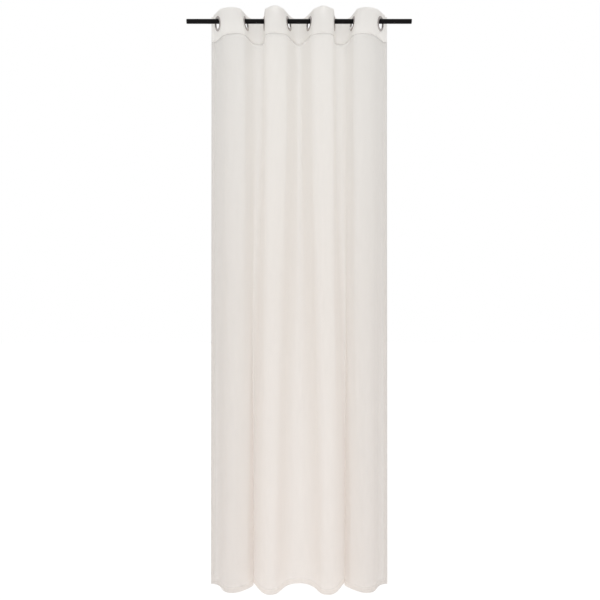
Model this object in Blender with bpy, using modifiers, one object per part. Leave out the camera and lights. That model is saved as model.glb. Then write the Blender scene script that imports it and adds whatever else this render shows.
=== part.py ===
"""Sheer voile curtain hanging from a plain round rod by eight metal eyelets.

The curtain is one width of voile under a stiffened heading band. Seen from above, the cloth runs in a long
wave: four folds come forward and three go back, and the rod passes through an eyelet in every leg of the
wave. Two tables give the wave, one at the heading and one at the bottom hem, each with every stretch as long
as it is on the flat cloth, and the cloth between them passes smoothly from one to the other.

Metres, +Z up. The origin is the middle of the rod's axis. The room is on the -Y side.
"""
import math
from collections import namedtuple

import bmesh
import bpy
import numpy as np
from mathutils import Matrix, Vector

# Sizes are in metres, and the two fold tables are in millimetres.
MM = 0.001
GAP = 0.0003

# The cloth as sewn, before it is hung
PANEL_WIDTH = 1.400
PANEL_DROP = 2.450
BAND_HEIGHT = 0.110
BAND_THICKNESS = 0.0016
VOILE_THICKNESS = 0.0012

# The rod
ROD_DIAMETER = 0.020
ROD_LENGTH = 0.960
ROD_EDGE_ROUNDING = 0.0006
ROD_SIDES = 32

# The eyelets: each hangs by its bore from the top of the rod, with room for its slant and its lean
HANG_GAP = 0.0009
EYELET_COUNT = 8
EYELET_MARGIN = 0.060
EYELET_PITCH = (PANEL_WIDTH - 2 * EYELET_MARGIN) / (EYELET_COUNT - 1)
BORE_RADIUS = 0.0210
TUBE_WALL = 0.0012
FLANGE_RADIUS = 0.0310
FRONT_CROWN = 0.0021
BACK_CROWN = 0.0015
MOUTH_ROUNDING = 0.0011
RIM_ROUNDING = 0.0026
PUNCH_LENGTH = 0.010
EYELET_SIDES = 24
EYELET_HEIGHT = ROD_DIAMETER / 2 + HANG_GAP - BORE_RADIUS
EYELET_FLAT = 0.032

# Heights of the cloth's edges
TOP_ABOVE_EYELET = 0.047
TOP_HEIGHT = EYELET_HEIGHT + TOP_ABOVE_EYELET
BAND_BOTTOM = TOP_HEIGHT - BAND_HEIGHT
HEM_HEIGHT = TOP_HEIGHT - PANEL_DROP

# How finely the cloth is cut into faces
FACES_BESIDE_EDGE = 2
FACES_ACROSS_FLAT = 4
FACES_ROUND_FOLD = 12
BAND_ROWS = 3
PANEL_ROWS = 13
CURVE_STEPS = 48
HANDLE_HALVINGS = 40
SHARP_FROM = math.radians(35)

# A place on the cloth's wave, seen from above, in millimetres and degrees: how far along the flat cloth it
# is from the left edge, where it hangs, which way the cloth runs there (0 is +X, 90 is +Y), and how much
# cloth lies straight on each side of it.
Place = namedtuple("Place", "along x y runs straight")


def eyelet_along(number):
    """Millimetres from the cloth's left edge to an eyelet's centre; the first eyelet is number 1."""
    return (EYELET_MARGIN + (number - 1) * EYELET_PITCH) / MM


FLAT = EYELET_FLAT / MM
HEADING_WAVE = [
    Place(0, -379.5, 46, -18, 0),
    Place(eyelet_along(1), -347, 0, -62, FLAT),
    Place(eyelet_along(2), -227, 0, 75, FLAT),
    Place(eyelet_along(3), -148, 0, -84, FLAT),
    Place(eyelet_along(4), -45, 0, 71, FLAT),
    Place(eyelet_along(5), 43, 0, -70, FLAT),
    Place(eyelet_along(6), 150, 0, 84, FLAT),
    Place(eyelet_along(7), 228, 0, -77, FLAT),
    Place(eyelet_along(8), 347, 0, 60, FLAT),
    Place(PANEL_WIDTH / MM, 380.5, 47, 18, 0),
]
HEM_WAVE = [
    Place(0, -379.5, 33, -6, 0),
    Place(151, -277, -63, 0, 0),
    Place(272, -196, 20, 78, 0),
    Place(328, -222, 66, 34, 0),
    Place(384, -189.5, 25, -66, 0),
    Place(517, -121, -82, 0, 0),
    Place(608, -68, -15, 64, 0),
    Place(700, 0, 38, 0, 0),
    Place(792, 69, -15, -64, 0),
    Place(883, 121, -82, 0, 0),
    Place(1016, 188.5, 25, 66, 0),
    Place(1072, 221, 65, -34, 0),
    Place(1128, 195, 20, -78, 0),
    Place(1249, 278, -63, 0, 0),
    Place(1400, 380.5, 33, 6, 0),
]

# The stiff band leans outward as it stands up from the rod: sideways travel for each unit of height, at
# each eyelet from the left. The side edges stand upright.
BAND_LEANS = [-0.14, -0.16, 0.0, -0.13, 0.09, 0.0, 0.14, 0.13]

# The top edge stands forward of the band's wave at the two middle crowns, and a little back beside them:
# millimetres along the flat cloth, half width, and how far towards the room.
Flare = namedtuple("Flare", "along width forward")
TOP_FLARES = [Flare(484, 16, -5), Flare(523, 24, 14), Flare(877, 24, 14), Flare(916, 16, -5)]
FLARE_START = EYELET_HEIGHT - 0.020


def bezier(start, start_angle, end, end_angle, handle):
    """Points along a cubic curve whose two handles are equally long, each along the cloth's own run."""
    leave = start + handle * np.array([math.cos(start_angle), math.sin(start_angle)])
    arrive = end - handle * np.array([math.cos(end_angle), math.sin(end_angle)])
    t = np.linspace(0.0, 1.0, CURVE_STEPS + 1)[:, None]
    return (1 - t) ** 3 * start + 3 * (1 - t) ** 2 * t * leave + 3 * (1 - t) * t ** 2 * arrive + t ** 3 * end


def step_lengths(points):
    return np.hypot(*np.diff(points, axis=0).T)


def fold_between(start, end):
    """The curve between two places, its handles as long as give it the length of the cloth between them."""
    cloth_length = end.along - start.along
    ends = (np.array([start.x, start.y]), math.radians(start.runs),
            np.array([end.x, end.y]), math.radians(end.runs))
    shortest, longest = 0.0, cloth_length
    for _ in range(HANDLE_HALVINGS):
        handle = (shortest + longest) / 2
        if step_lengths(bezier(*ends, handle)).sum() < cloth_length:
            shortest = handle
        else:
            longest = handle
    return bezier(*ends, handle)


def straight_ends(place):
    """The one or two places where the straight cloth round a place begins and ends."""
    if place.straight == 0:
        return [place]
    across = place.straight * math.cos(math.radians(place.runs))
    back = place.straight * math.sin(math.radians(place.runs))
    before = place._replace(along=place.along - place.straight, x=place.x - across, y=place.y - back)
    after = place._replace(along=place.along + place.straight, x=place.x + across, y=place.y + back)
    return [before, after]


def wave_points(wave):
    """Arrays of distance along the cloth, x and y, in metres, for one of the two tables."""
    places = [wave[0]] + [end for place in wave[1:-1] for end in straight_ends(place)] + [wave[-1]]
    points = [np.array([[places[0].x, places[0].y]])]
    along = [np.array([places[0].along])]
    for start, end in zip(places, places[1:]):
        curve = fold_between(start, end)
        lengths = np.cumsum(step_lengths(curve))
        points.append(curve[1:])
        along.append(start.along + lengths * (end.along - start.along) / lengths[-1])
    points = np.concatenate(points)
    return np.concatenate(along) * MM, points[:, 0] * MM, points[:, 1] * MM


HEADING_POINTS = wave_points(HEADING_WAVE)
HEM_POINTS = wave_points(HEM_WAVE)


def eyelet_flats():
    """The first and last point, along the cloth, of the straight stretch round each eyelet."""
    centres = [eyelet_along(number) * MM for number in range(1, EYELET_COUNT + 1)]
    return [(centre - EYELET_FLAT, centre + EYELET_FLAT) for centre in centres]


def band_lean(along):
    """The lean of the band, even across the straight stretch round each eyelet and passing between them."""
    places = [0.0] + [end for flat in eyelet_flats() for end in flat] + [PANEL_WIDTH]
    leans = [0.0] + [lean for lean in BAND_LEANS for _ in range(2)] + [0.0]
    return np.interp(along, places, leans)


def top_flare(along, height):
    """How far the cloth stands towards the room near its top edge, more and more from FLARE_START up."""
    share = np.clip((height - FLARE_START) / (TOP_HEIGHT - FLARE_START), 0.0, 1.0) ** 2
    bells = [flare.forward * MM * np.exp(-((along / MM - flare.along) / flare.width) ** 2) for flare in TOP_FLARES]
    return share * sum(bells)


def cloth_point(along, height):
    """Where a point of the flat cloth hangs: the heading's wave above, the hem's wave at the bottom."""
    fallen = min(max((BAND_BOTTOM - height) / (BAND_BOTTOM - HEM_HEIGHT), 0.0), 1.0)
    share = fallen * fallen * (3 - 2 * fallen)
    above_eyelet = max(height, BAND_BOTTOM) - EYELET_HEIGHT
    heading_x = np.interp(along, *HEADING_POINTS[:2]) + band_lean(along) * above_eyelet
    heading_y = np.interp(along, HEADING_POINTS[0], HEADING_POINTS[2]) - top_flare(along, height)
    hem_x = np.interp(along, *HEM_POINTS[:2])
    hem_y = np.interp(along, HEM_POINTS[0], HEM_POINTS[2])
    return (1 - share) * heading_x + share * hem_x, (1 - share) * heading_y + share * hem_y, height


def cloth_columns():
    """Distances along the cloth at which its faces meet: close together round the folds."""
    flats = eyelet_flats()
    columns = [np.linspace(0.0, flats[0][0], FACES_BESIDE_EDGE, endpoint=False)]
    for flat, following in zip(flats, flats[1:]):
        columns.append(np.linspace(*flat, FACES_ACROSS_FLAT, endpoint=False))
        columns.append(np.linspace(flat[1], following[0], FACES_ROUND_FOLD, endpoint=False))
    columns.append(np.linspace(*flats[-1], FACES_ACROSS_FLAT, endpoint=False))
    columns.append(np.linspace(flats[-1][1], PANEL_WIDTH, FACES_BESIDE_EDGE + 1))
    return np.concatenate(columns)


def collection_named(name):
    made = bpy.data.collections.new(name)
    bpy.context.scene.collection.children.link(made)
    return made


def surface(name, colour, roughness, metallic):
    """A plain material with the piece's own colour, which is linear."""
    made = bpy.data.materials.new(name)
    made.use_nodes = True
    shader = made.node_tree.nodes["Principled BSDF"]
    shader.inputs["Base Color"].default_value = (*colour, 1.0)
    shader.inputs["Roughness"].default_value = roughness
    shader.inputs["Metallic"].default_value = metallic
    return made


def move_to(collection, moved):
    """Takes an object out of the collection that it was made in and puts it in the one given."""
    for owner in list(moved.users_collection):
        owner.objects.unlink(moved)
    collection.objects.link(moved)


def add_object(name, mesh, material, collection):
    made = bpy.data.objects.new(name, mesh)
    mesh.materials.clear()
    mesh.materials.append(material)
    collection.objects.link(made)
    return made


def smooth(mesh):
    mesh.shade_smooth()
    mesh.set_sharp_from_angle(angle=SHARP_FROM)


def hung_sheet(name, low, high, rows, thickness, material, collection):
    """A flat grid of cloth, each of its points carried to where it hangs, then given its thickness."""
    columns = cloth_columns()
    heights = np.linspace(low, high, rows + 1)
    mesh = bpy.data.meshes.new(name)
    grid = bmesh.new()
    bmesh.ops.create_grid(grid, x_segments=len(columns) - 1, y_segments=rows, size=0.5)
    for vertex in grid.verts:
        column = round((vertex.co.x + 0.5) * (len(columns) - 1))
        row = round((vertex.co.y + 0.5) * rows)
        vertex.co = cloth_point(columns[column], heights[row])
    grid.to_mesh(mesh)
    grid.free()
    smooth(mesh)
    sheet = add_object(name, mesh, material, collection)
    shell = sheet.modifiers.new("thickness", "SOLIDIFY")
    shell.thickness = thickness
    shell.offset = 0.0
    shell.use_even_offset = True
    return sheet


def eyelet_matrices():
    """Each eyelet's place: its +X runs along the cloth and its +Z points out of the cloth's room side."""
    matrices = []
    for place, lean in zip(HEADING_WAVE[1:-1], BAND_LEANS):
        runs = Vector((math.cos(math.radians(place.runs)), math.sin(math.radians(place.runs)), 0.0))
        faces = runs.cross(Vector((lean, 0.0, 1.0))).normalized()
        turn = Matrix((runs, faces.cross(runs), faces)).transposed().to_4x4()
        matrices.append(Matrix.Translation((place.x * MM, place.y * MM, EYELET_HEIGHT)) @ turn)
    return matrices


def turned_mesh(name, profile):
    """The closed half section of a ring, as (radius, height) points that run down its outer side."""
    mesh = bpy.data.meshes.new(name)
    corners = [(radius, 0.0, height) for radius, height in profile]
    edges = [(index, (index + 1) % len(corners)) for index in range(len(corners))]
    mesh.from_pydata(corners, edges, [])
    return mesh


def add_turned(name, mesh, material, collection):
    piece = add_object(name, mesh, material, collection)
    turn = piece.modifiers.new("turn", "SCREW")
    turn.axis = "Z"
    turn.angle = 2 * math.pi
    turn.steps = EYELET_SIDES
    turn.render_steps = EYELET_SIDES
    turn.use_merge_vertices = True
    turn.merge_threshold = 0.00001
    turn.use_smooth_shade = True
    return piece


def front_half_profile():
    """The half that shows: a crowned flange on the room side and a tube through the cloth."""
    seat = BAND_THICKNESS / 2 + GAP
    tube_radius = BORE_RADIUS + TUBE_WALL
    tube_end = -(seat + BACK_CROWN)
    crown_radius = BORE_RADIUS + 0.38 * (FLANGE_RADIUS - BORE_RADIUS)
    return [
        (BORE_RADIUS, tube_end),
        (BORE_RADIUS, seat + 0.40 * FRONT_CROWN),
        (BORE_RADIUS + MOUTH_ROUNDING, seat + 0.80 * FRONT_CROWN),
        (crown_radius, seat + FRONT_CROWN),
        (FLANGE_RADIUS - RIM_ROUNDING, seat + 0.76 * FRONT_CROWN),
        (FLANGE_RADIUS, seat + 0.16 * FRONT_CROWN),
        (FLANGE_RADIUS, seat),
        (tube_radius, seat),
        (tube_radius, tube_end),
    ]


def back_half_profile():
    """The washer that snaps over the tube behind the cloth."""
    seat = -(BAND_THICKNESS / 2 + GAP)
    inner_radius = BORE_RADIUS + TUBE_WALL + GAP
    crown_radius = BORE_RADIUS + 0.45 * (FLANGE_RADIUS - BORE_RADIUS)
    return [
        (inner_radius, seat),
        (FLANGE_RADIUS, seat),
        (FLANGE_RADIUS, seat - 0.25 * BACK_CROWN),
        (crown_radius, seat - BACK_CROWN),
        (inner_radius, seat - 0.80 * BACK_CROWN),
    ]


def make_eyelets(material, collection):
    front_mesh = turned_mesh("eyelet_front", front_half_profile())
    back_mesh = turned_mesh("eyelet_back", back_half_profile())
    for number, matrix in enumerate(eyelet_matrices(), start=1):
        add_turned(f"eyelet_{number}_front", front_mesh, material, collection).matrix_world = matrix
        add_turned(f"eyelet_{number}_back", back_mesh, material, collection).matrix_world = matrix


def make_punches(collection):
    """The cutters for the heading's holes, each a little wider than the eyelet's tube."""
    for matrix in eyelet_matrices():
        bpy.ops.mesh.primitive_cylinder_add(
            vertices=EYELET_SIDES, radius=BORE_RADIUS + TUBE_WALL + GAP, depth=PUNCH_LENGTH)
        punch = bpy.context.object
        punch.name = "punch"
        move_to(collection, punch)
        punch.matrix_world = matrix
        punch.hide_render = True
        punch.display_type = "WIRE"


def make_heading(material, collection, punches):
    heading = hung_sheet("heading", BAND_BOTTOM + GAP / 2, TOP_HEIGHT, BAND_ROWS, BAND_THICKNESS,
                         material, collection)
    holes = heading.modifiers.new("eyelet_holes", "BOOLEAN")
    holes.operation = "DIFFERENCE"
    holes.solver = "EXACT"
    holes.operand_type = "COLLECTION"
    holes.collection = punches


def make_panel(material, collection):
    hung_sheet("panel", HEM_HEIGHT, BAND_BOTTOM - GAP / 2, PANEL_ROWS, VOILE_THICKNESS, material, collection)


def make_rod(material, collection):
    bpy.ops.mesh.primitive_cylinder_add(
        vertices=ROD_SIDES, radius=ROD_DIAMETER / 2, depth=ROD_LENGTH, rotation=(0.0, math.pi / 2, 0.0))
    rod = bpy.context.object
    rod.name = "rod"
    rod.data.materials.append(material)
    move_to(collection, rod)
    smooth(rod.data)
    edge = rod.modifiers.new("broken_edge", "BEVEL")
    edge.width = ROD_EDGE_ROUNDING
    edge.segments = 2
    edge.angle_limit = math.radians(60)


def build():
    for leftover in list(bpy.data.objects):
        bpy.data.objects.remove(leftover, do_unlink=True)
    curtain = collection_named("voile_curtain")
    punches = collection_named("punches")
    voile = surface("off_white_voile", (0.80, 0.76, 0.71), 0.90, 0.0)
    band = surface("stiffened_heading", (0.84, 0.80, 0.75), 0.85, 0.0)
    nickel = surface("satin_nickel", (0.50, 0.47, 0.45), 0.35, 1.0)
    black = surface("black_powder_coat", (0.012, 0.012, 0.013), 0.45, 0.0)
    make_punches(punches)
    make_rod(black, curtain)
    make_heading(band, curtain, punches)
    make_eyelets(nickel, curtain)
    make_panel(voile, curtain)


build()
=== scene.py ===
"""Looks of the sheer voile curtain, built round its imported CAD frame.

Metres, +Z up. The origin is the middle of the rod's axis, +X runs along the rod to the right as seen from the
room, and the room is on the -Y side.
"""
import math
from collections import namedtuple

import bpy
import numpy as np
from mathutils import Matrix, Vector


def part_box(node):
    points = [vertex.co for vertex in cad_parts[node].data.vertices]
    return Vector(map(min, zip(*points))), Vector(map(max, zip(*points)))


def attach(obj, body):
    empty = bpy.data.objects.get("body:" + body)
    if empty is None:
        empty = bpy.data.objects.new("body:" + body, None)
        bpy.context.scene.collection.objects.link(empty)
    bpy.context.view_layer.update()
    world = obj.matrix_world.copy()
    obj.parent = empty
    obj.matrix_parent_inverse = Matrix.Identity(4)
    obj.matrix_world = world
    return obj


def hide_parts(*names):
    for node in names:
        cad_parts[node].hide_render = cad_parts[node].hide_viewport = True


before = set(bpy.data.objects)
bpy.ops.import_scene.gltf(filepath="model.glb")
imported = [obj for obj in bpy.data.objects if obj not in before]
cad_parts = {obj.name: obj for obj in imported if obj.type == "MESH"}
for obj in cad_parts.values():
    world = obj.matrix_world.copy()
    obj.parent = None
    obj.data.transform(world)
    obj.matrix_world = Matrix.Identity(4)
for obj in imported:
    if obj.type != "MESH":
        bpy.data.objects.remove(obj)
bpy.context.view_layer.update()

# The rod
# One length of 20 mm steel tube with closed ends, cut square and sprayed with black powder that is baked on.
# It carries the eyelets and nothing is fixed to it.
MM = 0.001
scene = bpy.context.scene


def closed_grid(rows, columns, round_columns):
    """Corner numbers of the four-sided faces of a grid, which closes on itself where the columns go round."""
    across = columns if round_columns else columns - 1
    row, column = np.meshgrid(np.arange(rows - 1), np.arange(across), indexing="ij")
    following = (column + 1) % columns
    corners = [row * columns + column, row * columns + following,
               (row + 1) * columns + following, (row + 1) * columns + column]
    return np.stack(corners, axis=-1).reshape(-1, 4)


def make_piece(name, points, faces, material, uv=None, map_name="cloth", sharp_from=None):
    """A smooth mesh object at the origin, with one pair of uv values for each point if a map is given. Edges
    that turn by more than sharp_from degrees stay sharp."""
    mesh = bpy.data.meshes.new(name)
    mesh.from_pydata(points.reshape(-1, 3), [], faces)
    if uv is not None:
        corners = np.empty(len(mesh.loops), dtype=np.int32)
        mesh.loops.foreach_get("vertex_index", corners)
        layer = mesh.uv_layers.new(name=map_name)
        layer.data.foreach_set("uv", uv.reshape(-1, 2)[corners].astype(np.float32).ravel())
    mesh.shade_smooth()
    if sharp_from is not None:
        mesh.set_sharp_from_angle(angle=math.radians(sharp_from))
    mesh.materials.append(material)
    piece = bpy.data.objects.new(name, mesh)
    scene.collection.objects.link(piece)
    return piece


def from_hex(colour):
    """Linear red, green, blue and alpha of an sRGB colour written in hex."""
    parts = [int(colour[start:start + 2], 16) / 255 for start in (0, 2, 4)]
    return [part / 12.92 if part <= 0.04045 else ((part + 0.055) / 1.055) ** 2.4 for part in parts] + [1.0]


def add_node(tree, kind, settings=None, inputs=None):
    """One shader node with its settings. An input takes a value or another node's output."""
    node = tree.nodes.new(kind)
    for name, value in (settings or {}).items():
        setattr(node, name, value)
    for name, value in (inputs or {}).items():
        if isinstance(value, bpy.types.NodeSocket):
            tree.links.new(value, node.inputs[name])
        else:
            node.inputs[name].default_value = value
    return node


def new_material(name):
    """An empty material, its node tree and its output."""
    material = bpy.data.materials.new(name)
    material.use_nodes = True
    tree = material.node_tree
    tree.nodes.clear()
    return material, tree, add_node(tree, "ShaderNodeOutputMaterial")


# Powder coat on steel: a deep matt black that hardly mirrors the room, with a very fine orange peel and a
# little duller in patches.
POWDER_GRAIN = 0.9 * MM
PATCH_SIZE = 60 * MM
powder_black, tree, output = new_material("black_powder_coated_steel")
place = add_node(tree, "ShaderNodeTexCoord")
grain = add_node(tree, "ShaderNodeTexNoise", inputs={
    "Vector": place.outputs["Object"], "Scale": 1 / POWDER_GRAIN, "Detail": 2.0, "Roughness": 0.5})
patches = add_node(tree, "ShaderNodeTexNoise", inputs={
    "Vector": place.outputs["Object"], "Scale": 1 / PATCH_SIZE, "Detail": 3.0, "Roughness": 0.5})
dulling = add_node(tree, "ShaderNodeMapRange", inputs={
    "Value": patches.outputs["Fac"], "From Min": 0.3, "From Max": 0.7, "To Min": 0.50, "To Max": 0.62})
peel = add_node(tree, "ShaderNodeBump", inputs={
    "Height": grain.outputs["Fac"], "Strength": 0.12, "Distance": 0.05 * MM})
black = add_node(tree, "ShaderNodeMixRGB", inputs={
    "Fac": patches.outputs["Fac"], "Color1": from_hex("0d0c0d"), "Color2": from_hex("131112")})
coat = add_node(tree, "ShaderNodeBsdfPrincipled", inputs={
    "Base Color": black.outputs["Color"], "Roughness": dulling.outputs["Result"],
    "Normal": peel.outputs["Normal"], "IOR": 1.5, "Specular IOR Level": 0.08})
tree.links.new(coat.outputs["BSDF"], output.inputs["Surface"])

rod_low, rod_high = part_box("rod")
ROD_RADIUS = (rod_high.z - rod_low.z) / 2
ROD_EDGE = 0.6 * MM
ROD_SIDES = 96
ROD_STATIONS = 25
EDGE_STEPS = 5


def rod_profile():
    """Places along the rod and radii there: from the middle of one end, round its edge, to the other end."""
    turn = np.linspace(0.0, math.pi / 2, EDGE_STEPS)
    edge_x = rod_low.x + ROD_EDGE * (1 - np.sin(turn))
    edge_radius = ROD_RADIUS - ROD_EDGE * (1 - np.cos(turn))
    middle_x = np.linspace(rod_low.x + ROD_EDGE, rod_high.x - ROD_EDGE, ROD_STATIONS)[1:-1]
    x = np.concatenate([[rod_low.x], edge_x[::-1], middle_x, -edge_x, [rod_high.x]])
    middle_radius = np.full(len(middle_x), ROD_RADIUS)
    radius = np.concatenate([[0.0], edge_radius[::-1], middle_radius, edge_radius, [0.0]])
    return x, radius


def turned_rod(name, material):
    """The profile carried round the X axis: a point is (x, radius cos a, radius sin a). Its ends are fans."""
    x, radius = rod_profile()
    angle = np.linspace(0.0, 2 * math.pi, ROD_SIDES, endpoint=False)
    x_grid, angle_grid = np.meshgrid(x[1:-1], angle, indexing="ij")
    radius_grid = np.repeat(radius[1:-1, None], ROD_SIDES, axis=1)
    skin = np.stack([x_grid, radius_grid * np.cos(angle_grid), radius_grid * np.sin(angle_grid)], axis=-1)
    poles = np.array([[x[0], 0.0, 0.0], [x[-1], 0.0, 0.0]])
    points = np.concatenate([skin.reshape(-1, 3), poles])
    first = np.arange(ROD_SIDES)
    following = (first + 1) % ROD_SIDES
    last_row = (len(x) - 3) * ROD_SIDES
    near_pole = len(points) - 2
    far_pole = len(points) - 1
    faces = closed_grid(len(x) - 2, ROD_SIDES, True).tolist()
    faces += np.stack([following, first, np.full(ROD_SIDES, near_pole)], axis=1).tolist()
    faces += np.stack([last_row + first, last_row + following, np.full(ROD_SIDES, far_pole)], axis=1).tolist()
    return make_piece(name, points, faces, material, sharp_from=40)


rod = turned_rod("rod_tube", powder_black)
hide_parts("rod")
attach(rod, "root")


# The voile panel
# One width of thin polyester voile in plain weave, turned in twice down both sides and along the bottom and
# stitched. It hangs in one long wave, held at the top by the heading and loose at the hem.
PANEL_WIDTH = 1.400
PANEL_DROP = 2.450
BAND_HEIGHT = 0.110
EYELET_MARGIN = 0.060
EYELET_COUNT = 8
EYELET_PITCH = (PANEL_WIDTH - 2 * EYELET_MARGIN) / (EYELET_COUNT - 1)
EYELET_FLAT = 0.032
BORE_RADIUS = 0.0210
HANG_GAP = 0.0009
EYELET_TO_TOP = 0.047
EYELET_HEIGHT = ROD_RADIUS + HANG_GAP - BORE_RADIUS
TOP_HEIGHT = EYELET_HEIGHT + EYELET_TO_TOP
BAND_BOTTOM = TOP_HEIGHT - BAND_HEIGHT
HEM_HEIGHT = TOP_HEIGHT - PANEL_DROP
CURVE_STEPS = 160
HANDLE_HALVINGS = 40

# A place on the wave, seen from above, in millimetres and degrees: how far along the flat cloth it is, where
# it hangs, which way the cloth runs there, and how much cloth lies straight on each side of it.
Place = namedtuple("Place", "along x y runs straight")


def eyelet_along(number):
    """Millimetres from the cloth's left edge to an eyelet's centre; the first eyelet is number 1."""
    return (EYELET_MARGIN + (number - 1) * EYELET_PITCH) / MM


FLAT = EYELET_FLAT / MM
HEADING_WAVE = [
    Place(0, -379.5, 46, -18, 0),
    Place(eyelet_along(1), -347, 0, -62, FLAT),
    Place(eyelet_along(2), -227, 0, 75, FLAT),
    Place(eyelet_along(3), -148, 0, -84, FLAT),
    Place(eyelet_along(4), -45, 0, 71, FLAT),
    Place(eyelet_along(5), 43, 0, -70, FLAT),
    Place(eyelet_along(6), 150, 0, 84, FLAT),
    Place(eyelet_along(7), 228, 0, -77, FLAT),
    Place(eyelet_along(8), 347, 0, 60, FLAT),
    Place(PANEL_WIDTH / MM, 380.5, 47, 18, 0),
]
HEM_WAVE = [
    Place(0, -379.5, 33, -6, 0),
    Place(151, -277, -63, 0, 0),
    Place(272, -196, 20, 78, 0),
    Place(328, -222, 66, 34, 0),
    Place(384, -189.5, 25, -66, 0),
    Place(517, -121, -82, 0, 0),
    Place(608, -68, -15, 64, 0),
    Place(700, 0, 38, 0, 0),
    Place(792, 69, -15, -64, 0),
    Place(883, 121, -82, 0, 0),
    Place(1016, 188.5, 25, 66, 0),
    Place(1072, 221, 65, -34, 0),
    Place(1128, 195, 20, -78, 0),
    Place(1249, 278, -63, 0, 0),
    Place(1400, 380.5, 33, 6, 0),
]
# How far the band leans sideways at each eyelet, as a share of its height.
BAND_LEANS = [-0.14, -0.16, 0.0, -0.13, 0.09, 0.0, 0.14, 0.13]
# Where the top edge leaves its wave, in millimetres: the place along the flat cloth, half the width, and how
# far it stands towards the room (or back, where it is below zero).
Flare = namedtuple("Flare", "along width forward")
TOP_FLARES = [Flare(484, 16, -5), Flare(523, 24, 14), Flare(877, 24, 14), Flare(916, 16, -5)]
FLARE_UNDER_EYELET = 0.020
FLARE_START = EYELET_HEIGHT - FLARE_UNDER_EYELET


def bezier(start, start_angle, end, end_angle, handle):
    """Points along a cubic Bezier curve: its two inner points lie one handle from each end, the first ahead
    of the start and the second behind the end, along the cloth's run there."""
    leave = start + handle * np.array([math.cos(start_angle), math.sin(start_angle)])
    arrive = end - handle * np.array([math.cos(end_angle), math.sin(end_angle)])
    t = np.linspace(0.0, 1.0, CURVE_STEPS + 1)[:, None]
    return (1 - t) ** 3 * start + 3 * (1 - t) ** 2 * t * leave + 3 * (1 - t) * t ** 2 * arrive + t ** 3 * end


def step_lengths(points):
    """The distance from each point to the next."""
    return np.hypot(*np.diff(points, axis=0).T)


def fold_between(start, end):
    """The curve between two places. Its handle is found by halving: longer while the curve is shorter than
    the cloth between the places, and shorter while it is longer."""
    cloth_length = end.along - start.along
    ends = (np.array([start.x, start.y]), math.radians(start.runs),
            np.array([end.x, end.y]), math.radians(end.runs))
    shortest, longest = 0.0, cloth_length
    for _ in range(HANDLE_HALVINGS):
        handle = (shortest + longest) / 2
        if step_lengths(bezier(*ends, handle)).sum() < cloth_length:
            shortest = handle
        else:
            longest = handle
    return bezier(*ends, handle)


def straight_ends(place):
    """The one or two places where the straight cloth round a place begins and ends."""
    if place.straight == 0:
        return [place]
    across = place.straight * math.cos(math.radians(place.runs))
    back = place.straight * math.sin(math.radians(place.runs))
    before = place._replace(along=place.along - place.straight, x=place.x - across, y=place.y - back)
    after = place._replace(along=place.along + place.straight, x=place.x + across, y=place.y + back)
    return [before, after]


def wave_points(wave):
    """Arrays of distance along the cloth, x and y, in metres, for one of the two tables."""
    places = [wave[0]] + [end for place in wave[1:-1] for end in straight_ends(place)] + [wave[-1]]
    points = [np.array([[places[0].x, places[0].y]])]
    along = [np.array([places[0].along])]
    for start, end in zip(places, places[1:]):
        curve = fold_between(start, end)
        lengths = np.cumsum(step_lengths(curve))
        points.append(curve[1:])
        along.append(start.along + lengths * (end.along - start.along) / lengths[-1])
    points = np.concatenate(points)
    return np.concatenate(along) * MM, points[:, 0] * MM, points[:, 1] * MM


HEADING_POINTS = wave_points(HEADING_WAVE)
HEM_POINTS = wave_points(HEM_WAVE)


def band_lean(along):
    """The lean of the band, even across the straight stretch round each eyelet and passing between them."""
    centres = [eyelet_along(number) * MM for number in range(1, EYELET_COUNT + 1)]
    ends = [centre + side * EYELET_FLAT for centre in centres for side in (-1, 1)]
    leans = [lean for lean in BAND_LEANS for _ in range(2)]
    return np.interp(along, [0.0] + ends + [PANEL_WIDTH], [0.0] + leans + [0.0])


def top_flare(along, height):
    """How far the cloth stands towards the room near its top edge: a sum of bells across the cloth, times the
    square of the share of the way from FLARE_START to the top."""
    share = np.clip((height - FLARE_START) / (TOP_HEIGHT - FLARE_START), 0.0, 1.0) ** 2
    bells = [flare.forward * MM * np.exp(-((along / MM - flare.along) / flare.width) ** 2)
             for flare in TOP_FLARES]
    return share * sum(bells)


def smoothstep(value, low, high):
    """0 up to low, 1 from high on, and between them 3 times the share's square less 2 times its cube."""
    share = np.clip((value - low) / (high - low), 0.0, 1.0)
    return share * share * (3 - 2 * share)


def main_folds(along, height):
    """Where a point of the flat cloth hangs: the heading's wave above, the hem's wave at the bottom, and
    between them a mix of the two by the smooth share of the drop."""
    share = smoothstep(-height, -BAND_BOTTOM, -HEM_HEIGHT)
    above_eyelet = np.maximum(height, BAND_BOTTOM) - EYELET_HEIGHT
    heading_x = np.interp(along, *HEADING_POINTS[:2]) + band_lean(along) * above_eyelet
    heading_y = np.interp(along, HEADING_POINTS[0], HEADING_POINTS[2]) - top_flare(along, height)
    hem_x = np.interp(along, *HEM_POINTS[:2])
    hem_y = np.interp(along, HEM_POINTS[0], HEM_POINTS[2])
    x = (1 - share) * heading_x + share * hem_x
    y = (1 - share) * heading_y + share * hem_y
    return np.stack([x, y, height], axis=-1)


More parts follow.
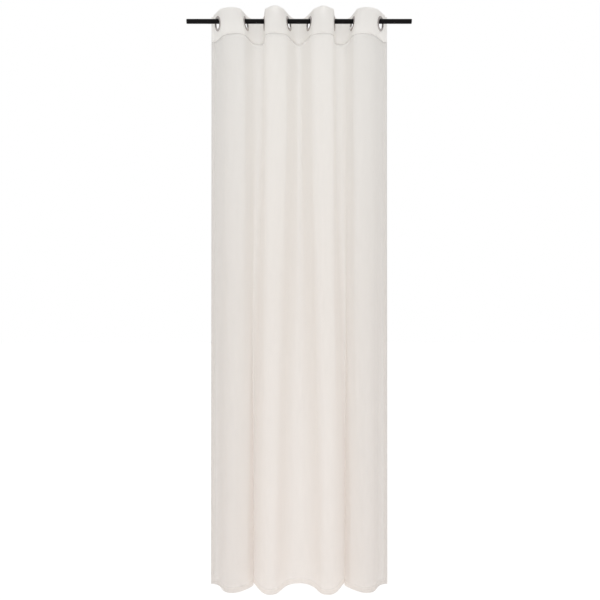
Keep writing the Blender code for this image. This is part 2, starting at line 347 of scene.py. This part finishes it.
# Soft creases, in millimetres: the place along the flat cloth, half the width, how far the
# cloth stands out towards the room (or back, where it is below zero), and the drop from the top edge at which
# the crease starts and ends.
Crease = namedtuple("Crease", "along width depth starts ends")
CREASES = [
    Crease(96, 11, -1.3, 150, 1500),
    Crease(132, 14, 1.5, 130, 2100),
    Crease(171, 10, -1.1, 420, 2300),
    Crease(214, 12, 1.2, 140, 1100),
    Crease(262, 9, -0.9, 700, 2250),
    Crease(296, 13, 1.0, 160, 900),
    Crease(402, 12, 1.3, 150, 1250),
    Crease(448, 10, -1.2, 300, 1900),
    Crease(486, 13, 1.6, 130, 1500),
    Crease(529, 11, -1.3, 600, 2300),
    Crease(563, 12, 1.4, 140, 1000),
    Crease(611, 10, -1.0, 900, 2350),
    Crease(668, 14, 1.3, 170, 1400),
    Crease(713, 10, -1.4, 1200, 2350),
    Crease(742, 13, 1.2, 160, 1150),
    Crease(806, 11, -1.1, 500, 2000),
    Crease(845, 12, 1.5, 140, 1350),
    Crease(879, 10, -1.3, 250, 2200),
    Crease(921, 13, 1.5, 130, 1700),
    Crease(967, 11, -1.0, 800, 2300),
    Crease(1004, 12, 1.1, 150, 950),
    Crease(1119, 13, 1.2, 160, 1050),
    Crease(1158, 10, -1.0, 650, 2300),
    Crease(1201, 12, 1.4, 140, 1800),
    Crease(1243, 11, -1.2, 350, 2150),
    Crease(1287, 13, 1.3, 130, 1250),
    Crease(1330, 10, -1.1, 500, 2200),
]
CREASE_FADE = 260 * MM
CREASE_SWAY = 7 * MM
CREASE_SWAY_LENGTH = 0.9
CREASE_PHASE = 2.3


def crease_relief(along, height):
    """How far the cloth stands out: each crease is a bell across the cloth, exp(-distance squared), that
    sways from side to side in a sine down the cloth and fades in and out along it."""
    drop = TOP_HEIGHT - height
    relief = np.zeros_like(along)
    for number, crease in enumerate(CREASES):
        starts, ends = crease.starts * MM, crease.ends * MM
        sway = CREASE_SWAY * np.sin(2 * math.pi * drop / CREASE_SWAY_LENGTH + CREASE_PHASE * number)
        across = (along - crease.along * MM - sway) / (crease.width * MM)
        begun = smoothstep(drop, starts, starts + CREASE_FADE)
        ended = smoothstep(drop, ends - CREASE_FADE, ends)
        relief += crease.depth * MM * np.exp(-across ** 2) * (begun * (1 - ended))
    return relief


NORMAL_STEP = 0.5 * MM


def room_side(surface, along, height):
    """The direction out of the cloth's room side: its run along the cloth crossed with its run up it."""
    run = surface(along + NORMAL_STEP, height) - surface(along - NORMAL_STEP, height)
    rise = surface(along, height + NORMAL_STEP) - surface(along, height - NORMAL_STEP)
    out = np.cross(run, rise)
    return out / np.linalg.norm(out, axis=-1, keepdims=True)


def hung(along, height, proud=0.0):
    """A point of the cloth: its place in the folds, plus the creases' relief and the given height along the
    direction out of its room side."""
    inner = np.clip(along, NORMAL_STEP, PANEL_WIDTH - NORMAL_STEP)
    out = room_side(main_folds, inner, height)
    return main_folds(along, height) + out * (crease_relief(along, height) + proud)[..., None]


# Polyester voile: thin even threads with light between them, matt and a little warm, so that one layer glows
# and two or three read darker. It is warmer towards the hem, and greyer towards the side edges as painted
# shade for the outer folds, which turn sideways from the light. The real thread spacing of 0.4 mm is too fine
# to show and is drawn at 1.6 mm.
THREAD_SPACING = 1.6 * MM
SLUB_LENGTH = 90 * MM
SLUB_WIDTH = 3 * MM
# Blender's band texture repeats 20 times in 2 pi at scale 1.
WAVE_PERIOD = 2 * math.pi / 20
# The share of a look through the cloth that it stops: between its threads, on them, and in its hems.
OPEN_COVER = 0.53
THREAD_COVER = 0.74
HEM_COVER = 0.80
# How far in from each side edge the painted shade of the outer folds reaches, and the share of the
# cloth's brightness that it leaves at the edge.
PAINTED_SHADE_WIDTH = 300 * MM
PAINTED_SHADE_AT_EDGE = 0.90


def weave_nodes(tree, spacing):
    """Two sets of sine bands on the cloth's own map, one for each way of the weave, and at each point the
    larger of the two."""
    cloth = add_node(tree, "ShaderNodeUVMap", {"uv_map": "cloth"})
    warp = add_node(tree, "ShaderNodeTexWave", {"wave_type": "BANDS", "bands_direction": "X"}, {
        "Vector": cloth.outputs["UV"], "Scale": WAVE_PERIOD / spacing, "Distortion": 0.6, "Detail": 1.0})
    weft = add_node(tree, "ShaderNodeTexWave", {"wave_type": "BANDS", "bands_direction": "Y"}, {
        "Vector": cloth.outputs["UV"], "Scale": WAVE_PERIOD / spacing, "Distortion": 0.6, "Detail": 1.0})
    threads = add_node(tree, "ShaderNodeMath", {"operation": "MAXIMUM"}, {
        0: warp.outputs["Fac"], 1: weft.outputs["Fac"]})
    return cloth, threads


voile, tree, output = new_material("polyester_voile_plain_weave")
cloth, threads = weave_nodes(tree, THREAD_SPACING)
slub_place = add_node(tree, "ShaderNodeMapping", inputs={
    "Vector": cloth.outputs["UV"], "Scale": (1 / SLUB_WIDTH, 1 / SLUB_LENGTH, 1.0)})
slubs = add_node(tree, "ShaderNodeTexNoise", inputs={
    "Vector": slub_place.outputs["Vector"], "Scale": 1.0, "Detail": 2.0, "Roughness": 0.55})
cloth_axes = add_node(tree, "ShaderNodeSeparateXYZ", inputs={"Vector": cloth.outputs["UV"]})
drop_share = add_node(tree, "ShaderNodeMapRange", inputs={
    "Value": cloth_axes.outputs["Y"], "From Max": PANEL_DROP})
tints = add_node(tree, "ShaderNodeValToRGB", inputs={"Fac": drop_share.outputs["Result"]})
tints.color_ramp.elements[0].position = 0.0
tints.color_ramp.elements[0].color = from_hex("fbf6f2")
tints.color_ramp.elements[1].position = 1.0
tints.color_ramp.elements[1].color = from_hex("fbf9f6")
middle_tint = tints.color_ramp.elements.new(0.5)
middle_tint.color = from_hex("faf6f2")
turned = add_node(tree, "ShaderNodeAttribute", {"attribute_name": "turned_in"})
from_middle = add_node(tree, "ShaderNodeMath", {"operation": "SUBTRACT"}, {
    0: cloth_axes.outputs["X"], 1: PANEL_WIDTH / 2})
off_middle = add_node(tree, "ShaderNodeMath", {"operation": "ABSOLUTE"}, {0: from_middle.outputs["Value"]})
# Painted shade: the cloth's colour darkens smoothly towards both side edges, where the outer folds turn from
# the light.
painted_side_shade = add_node(tree, "ShaderNodeMapRange", {"interpolation_type": "SMOOTHSTEP"}, {
    "Value": off_middle.outputs["Value"], "From Min": PANEL_WIDTH / 2 - PAINTED_SHADE_WIDTH,
    "From Max": PANEL_WIDTH / 2, "To Min": 1.0, "To Max": PAINTED_SHADE_AT_EDGE})
slub_tint = add_node(tree, "ShaderNodeMapRange", inputs={
    "Value": slubs.outputs["Fac"], "From Min": 0.3, "From Max": 0.7, "To Min": 0.97, "To Max": 1.0})
# The slubs' random tone times the painted shade at the side edges.
shade = add_node(tree, "ShaderNodeMath", {"operation": "MULTIPLY"}, {
    0: slub_tint.outputs["Result"], 1: painted_side_shade.outputs["Result"]})
cloth_colour = add_node(tree, "ShaderNodeVectorMath", {"operation": "SCALE"}, {
    0: tints.outputs["Color"], "Scale": shade.outputs["Value"]})
weave_relief = add_node(tree, "ShaderNodeBump", inputs={
    "Height": threads.outputs["Value"], "Strength": 0.35, "Distance": 0.15 * MM})
face = add_node(tree, "ShaderNodeBsdfPrincipled", inputs={
    "Base Color": cloth_colour.outputs["Vector"], "Roughness": 0.85, "IOR": 1.5,
    "Specular IOR Level": 0.25, "Sheen Weight": 0.5, "Sheen Roughness": 0.4,
    "Normal": weave_relief.outputs["Normal"]})
glow = add_node(tree, "ShaderNodeBsdfTranslucent", inputs={
    "Color": cloth_colour.outputs["Vector"], "Normal": weave_relief.outputs["Normal"]})
body = add_node(tree, "ShaderNodeMixShader", inputs={
    "Fac": 0.55, 1: face.outputs["BSDF"], 2: glow.outputs["BSDF"]})
single_cover = add_node(tree, "ShaderNodeMapRange", inputs={
    "Value": threads.outputs["Value"], "To Min": OPEN_COVER, "To Max": THREAD_COVER})
cover = add_node(tree, "ShaderNodeMapRange", inputs={
    "Value": turned.outputs["Fac"], "To Min": single_cover.outputs["Result"], "To Max": HEM_COVER})
gaps = add_node(tree, "ShaderNodeBsdfTransparent")
sheer = add_node(tree, "ShaderNodeMixShader", inputs={
    "Fac": cover.outputs["Result"], 1: gaps.outputs["BSDF"], 2: body.outputs["Shader"]})
tree.links.new(sheer.outputs["Shader"], output.inputs["Surface"])

SIDE_HEM = 15 * MM
BOTTOM_HEM = 20 * MM
HEM_EDGE = 0.8 * MM
VOILE_THICKNESS = 0.25 * MM
HEM_EXTRA = 0.40 * MM
# The voile's top edge is caught this far inside the heading.
TUCK = 1.0 * MM
PANEL_COLUMNS = 284
PANEL_ROWS = 146
HEM_COLUMNS = 5


def panel_columns():
    """Distances along the cloth: even across it, with steps at the inner edges of the side hems."""
    left = np.linspace(0.0, SIDE_HEM, HEM_COLUMNS)
    middle = np.linspace(SIDE_HEM + HEM_EDGE, PANEL_WIDTH - SIDE_HEM - HEM_EDGE, PANEL_COLUMNS)
    return np.concatenate([left, middle, PANEL_WIDTH - left[::-1]])


def panel_heights():
    """Heights from the hem's lower edge up into the heading, with a step at the hem's upper edge."""
    hem = np.linspace(0.0, BOTTOM_HEM, HEM_COLUMNS)
    above = np.linspace(BOTTOM_HEM + HEM_EDGE, BAND_BOTTOM + TUCK - HEM_HEIGHT, PANEL_ROWS)
    return HEM_HEIGHT + np.concatenate([hem, above])


def turned_in(along, height):
    """1 where the cloth is turned in and three layers thick, 0 where it is one layer."""
    from_side = np.minimum(along, PANEL_WIDTH - along)
    side = 1 - smoothstep(from_side, SIDE_HEM, SIDE_HEM + HEM_EDGE)
    bottom = 1 - smoothstep(height - HEM_HEIGHT, BOTTOM_HEM, BOTTOM_HEM + HEM_EDGE)
    return np.maximum(side, bottom)


def voile_shell(name, material):
    """A closed sheet: each row goes along the room side, half the thickness out, and comes back along the
    window side, where the turned-in hems stand out. Strips close the first and the last row."""
    along, height = np.meshgrid(panel_columns(), panel_heights())
    hems = turned_in(along, height)
    half = np.full_like(along, VOILE_THICKNESS / 2)
    room = hung(along, height, half)
    window = hung(along, height, -half - HEM_EXTRA * hems)
    rows, columns = along.shape
    points = np.concatenate([room, window[:, ::-1]], axis=1)
    flat = np.stack([along, height - HEM_HEIGHT], axis=-1)
    uv = np.concatenate([flat, flat[:, ::-1]], axis=1)
    density = np.concatenate([hems, hems[:, ::-1]], axis=1)
    first = np.arange(columns - 1)
    opposite = 2 * columns - 1 - first
    bottom = np.stack([first + 1, first, opposite, opposite - 1], axis=1)
    top = bottom[:, ::-1] + (rows - 1) * 2 * columns
    faces = closed_grid(rows, 2 * columns, True).tolist() + bottom.tolist() + top.tolist()
    piece = make_piece(name, points, faces, material, uv)
    layer = piece.data.attributes.new("turned_in", "FLOAT", "POINT")
    layer.data.foreach_set("value", density.astype(np.float32).ravel())
    return piece


panel = voile_shell("voile_panel", voile)
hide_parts("panel")
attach(panel, "root")


# The heading
# The top of the cloth, folded over a strip of stiff non-woven tape and stitched down, with eight punched
# holes. It is opaque, holds the top edge in its wave and takes the grip of the eyelets.
BAND_ROOM_FACE = 0.30 * MM
BAND_THICKNESS = 1.10 * MM
HOLE_RADIUS = 22.4 * MM
SIDE_STEPS = 22
RADIAL_STEPS = 12
CROWDING_AT_HOLE = 1.3
WELD_DISTANCE = 0.02 * MM
SHADE_SIZE = 50 * MM
# The same voile doubled over a white tape: opaque and a little whiter, with hardly any sheen, and faintly
# uneven where the tape shows through.
heading_cloth, tree, output = new_material("stiffened_polyester_heading")
cloth, threads = weave_nodes(tree, THREAD_SPACING)
shades = add_node(tree, "ShaderNodeTexNoise", inputs={
    "Vector": cloth.outputs["UV"], "Scale": 1 / SHADE_SIZE, "Detail": 3.0, "Roughness": 0.5})
tints = add_node(tree, "ShaderNodeMixRGB", inputs={
    "Fac": shades.outputs["Fac"], "Color1": from_hex("fcfaf8"), "Color2": from_hex("fefdfb")})
weave_relief = add_node(tree, "ShaderNodeBump", inputs={
    "Height": threads.outputs["Value"], "Strength": 0.35, "Distance": 0.12 * MM})
face = add_node(tree, "ShaderNodeBsdfPrincipled", inputs={
    "Base Color": tints.outputs["Color"], "Roughness": 0.80, "IOR": 1.5,
    "Specular IOR Level": 0.25, "Sheen Weight": 0.15, "Sheen Roughness": 0.5,
    "Normal": weave_relief.outputs["Normal"]})
glow = add_node(tree, "ShaderNodeBsdfTranslucent", inputs={
    "Color": tints.outputs["Color"], "Normal": weave_relief.outputs["Normal"]})
body = add_node(tree, "ShaderNodeMixShader", inputs={
    "Fac": 0.60, 1: face.outputs["BSDF"], 2: glow.outputs["BSDF"]})
tree.links.new(body.outputs["Shader"], output.inputs["Surface"])


def cell_outline(left, right, low, high):
    """Points round a rectangle of flat cloth, evenly spaced along each side, from its lower left corner."""
    step = np.linspace(0.0, 1.0, SIDE_STEPS, endpoint=False)
    across = np.concatenate([left + (right - left) * step, np.full(SIDE_STEPS, right),
                             right - (right - left) * step, np.full(SIDE_STEPS, left)])
    up = np.concatenate([np.full(SIDE_STEPS, low), low + (high - low) * step,
                         np.full(SIDE_STEPS, high), high - (high - low) * step])
    return across, up


def punched_band(name, material):
    """Eight rectangles of cloth side by side. In each, straight lines run from the round hole out to the
    rectangle's edge, and a point's share of the way along its line is a power of its number's share."""
    centres = np.array([eyelet_along(number) * MM for number in range(1, EYELET_COUNT + 1)])
    edges = np.concatenate([[0.0], (centres[1:] + centres[:-1]) / 2, [PANEL_WIDTH]])
    points = []
    uvs = []
    faces = []
    outward = (np.linspace(0.0, 1.0, RADIAL_STEPS + 1) ** CROWDING_AT_HOLE)[:, None]
    for number, centre in enumerate(centres):
        across, up = cell_outline(edges[number], edges[number + 1], BAND_BOTTOM, TOP_HEIGHT)
        angle = np.arctan2(up - EYELET_HEIGHT, across - centre)
        hole_across = centre + HOLE_RADIUS * np.cos(angle)
        hole_up = EYELET_HEIGHT + HOLE_RADIUS * np.sin(angle)
        along = hole_across * (1 - outward) + across * outward
        height = hole_up * (1 - outward) + up * outward
        faces.append(closed_grid(*along.shape, True)[:, ::-1] + sum(len(p) for p in points))
        points.append(hung(along, height, np.full_like(along, BAND_ROOM_FACE)).reshape(-1, 3))
        uvs.append(np.stack([along, height - HEM_HEIGHT], axis=-1).reshape(-1, 2))
    faces = np.concatenate(faces).tolist()
    return make_piece(name, np.concatenate(points), faces, material, np.concatenate(uvs))


heading = punched_band("heading_band", heading_cloth)
weld = heading.modifiers.new("joined_cells", "WELD")
weld.merge_threshold = WELD_DISTANCE
shell = heading.modifiers.new("cloth_and_tape", "SOLIDIFY")
shell.thickness = BAND_THICKNESS
shell.offset = -1.0
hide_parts("heading")
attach(heading, "root")


# The stitching
# Polyester thread in lockstitch: two rows along the heading's lower edge, one row down each side hem and one
# along the bottom hem. A thread shows on both faces of the cloth and dips into it at the end of each stitch.
STITCH_LENGTH = 3.5 * MM
THREAD_RADIUS = 0.16 * MM
POINTS_IN_STITCH = 4
THREAD_SIDES = 5
EDGE_ALLOWANCE = 1.6 * MM
SECOND_ROW = 4.0 * MM
ROW_END_MARGIN = 2.0 * MM
UNDER_HEADING = 1.0 * MM
# A thread's rise over each stitch, and how deep it lies between them, in thread radii.
STITCH_RISE = 1.6
STITCH_SINK = 0.9
TWIST_LENGTH = 0.5 * MM
# Spun thread the colour of the cloth, with a soft lustre and its twist as fine slanting bands.
sewing_thread, tree, output = new_material("spun_polyester_sewing_thread")
place = add_node(tree, "ShaderNodeTexCoord")
twist = add_node(tree, "ShaderNodeTexWave", {"wave_type": "BANDS", "bands_direction": "DIAGONAL"}, {
    "Vector": place.outputs["Object"], "Scale": WAVE_PERIOD / TWIST_LENGTH, "Distortion": 1.0})
ply = add_node(tree, "ShaderNodeMixRGB", inputs={
    "Fac": twist.outputs["Fac"], "Color1": from_hex("f3efe9"), "Color2": from_hex("fbf8f4")})
thread_face = add_node(tree, "ShaderNodeBsdfPrincipled", inputs={
    "Base Color": ply.outputs["Color"], "Roughness": 0.55, "IOR": 1.5, "Sheen Weight": 0.1})
tree.links.new(thread_face.outputs["BSDF"], output.inputs["Surface"])


def stitch_row(start, end, room_face, window_face):
    """Two threads along a straight line on the flat cloth. Each is a closed tube whose centre rises off its
    face in a half sine for each stitch. A point of its ring is (radius cos a) across the line and (radius
    sin a) out of the cloth."""
    start, end = np.array(start), np.array(end)
    stitches = max(2, round(float(np.linalg.norm(end - start)) / STITCH_LENGTH))
    travel = np.linspace(0.0, 1.0, stitches * POINTS_IN_STITCH + 1)
    line = start + (end - start) * travel[:, None]
    along, height = line[:, 0], line[:, 1]
    rise = THREAD_RADIUS * (STITCH_RISE * np.abs(np.sin(math.pi * stitches * travel)) - STITCH_SINK)
    across = np.array([end[1] - start[1], start[0] - end[0]]) / np.linalg.norm(end - start)
    angle = np.linspace(0.0, 2 * math.pi, THREAD_SIDES, endpoint=False)
    points = []
    faces = []
    for face, side in ((room_face, 1), (window_face, -1)):
        sideways = THREAD_RADIUS * np.cos(angle)
        upward = side * (face + rise)[:, None] + THREAD_RADIUS * np.sin(angle)
        ring_along = np.clip(along[:, None] + across[0] * sideways, 0.0, PANEL_WIDTH)
        ring_height = height[:, None] + across[1] * sideways
        ring = np.arange(THREAD_SIDES)
        tube = closed_grid(len(travel), THREAD_SIDES, True)[:, ::-1].tolist()
        tube += [ring.tolist(), (ring[::-1] + (len(travel) - 1) * THREAD_SIDES).tolist()]
        behind = sum(len(part) for part in points)
        faces += [[corner + behind for corner in corners] for corners in tube]
        points.append(hung(ring_along, ring_height, upward).reshape(-1, 3))
    return np.concatenate(points), faces


def sewn(name, rows):
    """One piece of several rows of stitching."""
    points = []
    faces = []
    for row in rows:
        row_points, row_faces = stitch_row(*row)
        behind = sum(len(part) for part in points)
        faces += [[corner + behind for corner in corners] for corners in row_faces]
        points.append(row_points)
    piece = make_piece(name, np.concatenate(points), faces, sewing_thread)
    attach(piece, "root")
    return piece


voile_room = VOILE_THICKNESS / 2
voile_window = VOILE_THICKNESS / 2 + HEM_EXTRA
band_window = BAND_THICKNESS - BAND_ROOM_FACE
side_line = SIDE_HEM - EDGE_ALLOWANCE
hem_line = HEM_HEIGHT + BOTTOM_HEM - EDGE_ALLOWANCE
band_line = BAND_BOTTOM + EDGE_ALLOWANCE
band_lines = (band_line, band_line + SECOND_ROW)
heading_stitches = sewn("heading_stitches", [
    ((ROW_END_MARGIN, line), (PANEL_WIDTH - ROW_END_MARGIN, line), BAND_ROOM_FACE, band_window)
    for line in band_lines])
side_stitches = sewn("side_hem_stitches", [
    ((line, hem_line), (line, BAND_BOTTOM - UNDER_HEADING), voile_room, voile_window)
    for line in (side_line, PANEL_WIDTH - side_line)])
hem_stitches = sewn("bottom_hem_stitches", [
    ((side_line, hem_line), (PANEL_WIDTH - side_line, hem_line), voile_room, voile_window)])


# The eyelets
# Eight two-part eyelets pressed from thin steel and plated in satin nickel. The front half has a crowned
# flange and a tube that goes through the cloth and is rolled over the washer behind it.
SHEET_METAL = 0.5 * MM
EYELET_SIDES = 96
RING_SPACING = 0.25 * MM
HANDLED_SPOT = 9 * MM
# Nickel plate over pressed steel: a warm grey with a satin lustre from fine rings round the eyelet, a little
# duller in places from handling.
satin_nickel, tree, output = new_material("satin_nickel_plated_steel")
section_map = add_node(tree, "ShaderNodeUVMap", {"uv_map": "section"})
brushed = add_node(tree, "ShaderNodeTexNoise", inputs={
    "Vector": section_map.outputs["UV"], "Scale": 1.0, "Detail": 2.0, "Roughness": 0.6})
place = add_node(tree, "ShaderNodeTexCoord")
handled = add_node(tree, "ShaderNodeTexNoise", inputs={
    "Vector": place.outputs["Object"], "Scale": 1 / HANDLED_SPOT, "Detail": 2.0})
nickel = add_node(tree, "ShaderNodeMixRGB", inputs={
    "Fac": handled.outputs["Fac"], "Color1": from_hex("b3acaa"), "Color2": from_hex("c6bfbc")})
satin = add_node(tree, "ShaderNodeMapRange", inputs={
    "Value": brushed.outputs["Fac"], "From Min": 0.3, "From Max": 0.7, "To Min": 0.28, "To Max": 0.42})
lines = add_node(tree, "ShaderNodeBump", inputs={
    "Height": brushed.outputs["Fac"], "Strength": 0.08, "Distance": 0.03 * MM})
plate = add_node(tree, "ShaderNodeBsdfPrincipled", inputs={
    "Base Color": nickel.outputs["Color"], "Metallic": 1.0, "Roughness": satin.outputs["Result"],
    "Normal": lines.outputs["Normal"]})
tree.links.new(plate.outputs["BSDF"], output.inputs["Surface"])

# Corners of each half's outer side, in millimetres: radius, and height out of the cloth on the room side. The
# front half's run from its tube to its rim, and the back half's from its rim to the tube.
FRONT_CORNERS = np.array([
    (22.9, -2.70), (22.2, -3.05), (21.2, -2.75), (21.0, -1.9), (21.0, 1.5), (21.5, 2.55), (22.9, 3.10),
    (24.8, 3.20), (27.6, 2.85), (29.6, 2.10), (30.8, 1.25), (31.0, 0.70), (30.8, 0.36),
])
BACK_CORNERS = np.array([
    (31.0, -0.84), (30.9, -1.10), (29.8, -1.65), (27.8, -2.30), (25.4, -2.60), (23.2, -2.50), (22.1, -2.20),
])
ROUNDING_PASSES = 2


def cut_corners(corners):
    """The line with each corner cut off at a quarter of its two sides, its two ends kept."""
    before = corners[:-1] * 0.75 + corners[1:] * 0.25
    after = corners[:-1] * 0.25 + corners[1:] * 0.75
    middle = np.stack([before, after], axis=1).reshape(-1, 2)[1:-1]
    return np.concatenate([corners[:1], middle, corners[-1:]])


def pressed_section(corners):
    """The closed section of a half: its rounded outer side, and the same line moved by one sheet's thickness
    across its own run, to the metal's side."""
    line = corners * MM
    for _ in range(ROUNDING_PASSES):
        line = cut_corners(line)
    run = np.gradient(line, axis=0)
    run /= np.linalg.norm(run, axis=1, keepdims=True)
    inner = line + SHEET_METAL * np.stack([run[:, 1], -run[:, 0]], axis=1)
    return np.concatenate([line, inner[::-1]])


def eyelet_frames():
    """Each eyelet's centre, and its directions along the cloth, up the cloth and out of its room side."""
    frames = []
    for place, lean in zip(HEADING_WAVE[1:-1], BAND_LEANS):
        runs = np.array([math.cos(math.radians(place.runs)), math.sin(math.radians(place.runs)), 0.0])
        faces = np.cross(runs, np.array([lean, 0.0, 1.0]))
        faces /= np.linalg.norm(faces)
        centre = np.array([place.x * MM, place.y * MM, EYELET_HEIGHT])
        frames.append((centre, runs, np.cross(faces, runs), faces))
    return frames


def turned_half(name, section, eyelet, node):
    """The section carried round the eyelet's axis: a point is centre + radius (cos a along + sin a up) +
    height out. Its map holds only the way along the section, so that it has no seam."""
    centre, along, up, out = eyelet
    angle = np.linspace(0.0, 2 * math.pi, EYELET_SIDES, endpoint=False)[:, None]
    radius, height = section[:, 0][None, :, None], section[:, 1][None, :, None]
    spoke = np.cos(angle)[..., None] * along + np.sin(angle)[..., None] * up
    points = centre + radius * spoke + height * out
    rows, columns = points.shape[:2]
    faces = closed_grid(rows + 1, columns, True) % (rows * columns)
    travel = np.concatenate([[0.0], np.cumsum(step_lengths(section))]) / RING_SPACING
    uv = np.stack([np.zeros((rows, columns)), np.broadcast_to(travel, (rows, columns))], axis=-1)
    piece = make_piece(name, points, faces.tolist(), satin_nickel, uv, "section", sharp_from=50)
    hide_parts(node)
    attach(piece, "root")
    return piece


front_section = pressed_section(FRONT_CORNERS)
back_section = pressed_section(BACK_CORNERS)
for number, eyelet in enumerate(eyelet_frames(), start=1):
    called = f"eyelet_{number}"
    turned_half(called + "_flange", front_section, eyelet, called + "_front")
    turned_half(called + "_washer", back_section, eyelet, called + "_back")


# The room
# A pale matt floor below the hem, even white light from all round, a broad soft lamp on the room side that
# shapes the folds, and a soft light from straight above that keeps the floor white.
FLOOR_HEIGHT = -2.60
FLOOR_SIZE = 40.0
SCUFFS_A_METRE = 1.5
floor_paint, tree, output = new_material("white_studio_floor")
place = add_node(tree, "ShaderNodeTexCoord")
scuffs = add_node(tree, "ShaderNodeTexNoise", inputs={
    "Vector": place.outputs["Object"], "Scale": SCUFFS_A_METRE})
white = add_node(tree, "ShaderNodeMixRGB", inputs={
    "Fac": scuffs.outputs["Fac"], "Color1": from_hex("fbfbfa"), "Color2": from_hex("ffffff")})
matt = add_node(tree, "ShaderNodeBsdfPrincipled", inputs={
    "Base Color": white.outputs["Color"], "Roughness": 0.9, "Specular IOR Level": 0.1})
tree.links.new(matt.outputs["BSDF"], output.inputs["Surface"])
side = FLOOR_SIZE / 2
floor_points = np.array([(-side, -side, FLOOR_HEIGHT), (side, -side, FLOOR_HEIGHT),
                         (side, side, FLOOR_HEIGHT), (-side, side, FLOOR_HEIGHT)])
floor = make_piece("floor", floor_points, [(0, 1, 2, 3)], floor_paint)

# The surround is white where it is seen and dimmer as a light, so that pale cloth stands out from it.
FILL_LIGHT = 0.675
world = bpy.data.worlds.new("white_surround")
world.use_nodes = True
tree = world.node_tree
tree.nodes.clear()
rays = add_node(tree, "ShaderNodeLightPath")
fill = add_node(tree, "ShaderNodeBackground", inputs={"Color": from_hex("ffffff"), "Strength": FILL_LIGHT})
seen = add_node(tree, "ShaderNodeBackground", inputs={"Color": from_hex("ffffff"), "Strength": 1.0})
surround = add_node(tree, "ShaderNodeMixShader", inputs={
    "Fac": rays.outputs["Is Camera Ray"], 1: fill.outputs["Background"], 2: seen.outputs["Background"]})
output = add_node(tree, "ShaderNodeOutputWorld")
tree.links.new(surround.outputs["Shader"], output.inputs["Surface"])
scene.world = world

# The lamp is square. Its tilt and the width of the overhead light in the sky are in degrees.
LAMP_SIZE = 3.0
LAMP_WATTS = 24.0
LAMP_PLACE = (0.0, -4.2, 0.3)
LAMP_TILT = 80
OVERHEAD_STRENGTH = 1.2
OVERHEAD_SOFTNESS = 10
front_lamp = bpy.data.lights.new("broad_front_lamp", "AREA")
front_lamp.shape = "SQUARE"
front_lamp.size = LAMP_SIZE
front_lamp.energy = LAMP_WATTS
front_lamp_object = bpy.data.objects.new("broad_front_lamp", front_lamp)
front_lamp_object.location = LAMP_PLACE
front_lamp_object.rotation_euler = (math.radians(LAMP_TILT), 0.0, 0.0)
scene.collection.objects.link(front_lamp_object)
floor_lamp = bpy.data.lights.new("overhead_floor_lamp", "SUN")
floor_lamp.energy = OVERHEAD_STRENGTH
floor_lamp.angle = math.radians(OVERHEAD_SOFTNESS)
scene.collection.objects.link(bpy.data.objects.new("overhead_floor_lamp", floor_lamp))

# The camera stands where the photograph's is taken to have stood: 3 m in front of the rod, at the panel's
# middle height.
CAMERA_DISTANCE = 3.0
CAMERA_HEIGHT = -1.189
CAMERA_ASIDE = 0.0038
FOCAL_IN_PIXELS = 703.0
FRAME_IN_PIXELS = 600.0
SENSOR_WIDTH = 36.0
camera_data = bpy.data.cameras.new("camera")
camera_data.sensor_width = SENSOR_WIDTH
camera_data.lens = SENSOR_WIDTH * FOCAL_IN_PIXELS / FRAME_IN_PIXELS
camera_data.clip_end = 100.0
camera = bpy.data.objects.new("camera", camera_data)
camera.location = (CAMERA_ASIDE, -CAMERA_DISTANCE, CAMERA_HEIGHT)
camera.rotation_euler = (math.pi / 2, 0.0, 0.0)
scene.collection.objects.link(camera)
scene.camera = camera
scene.view_settings.view_transform = "Standard"
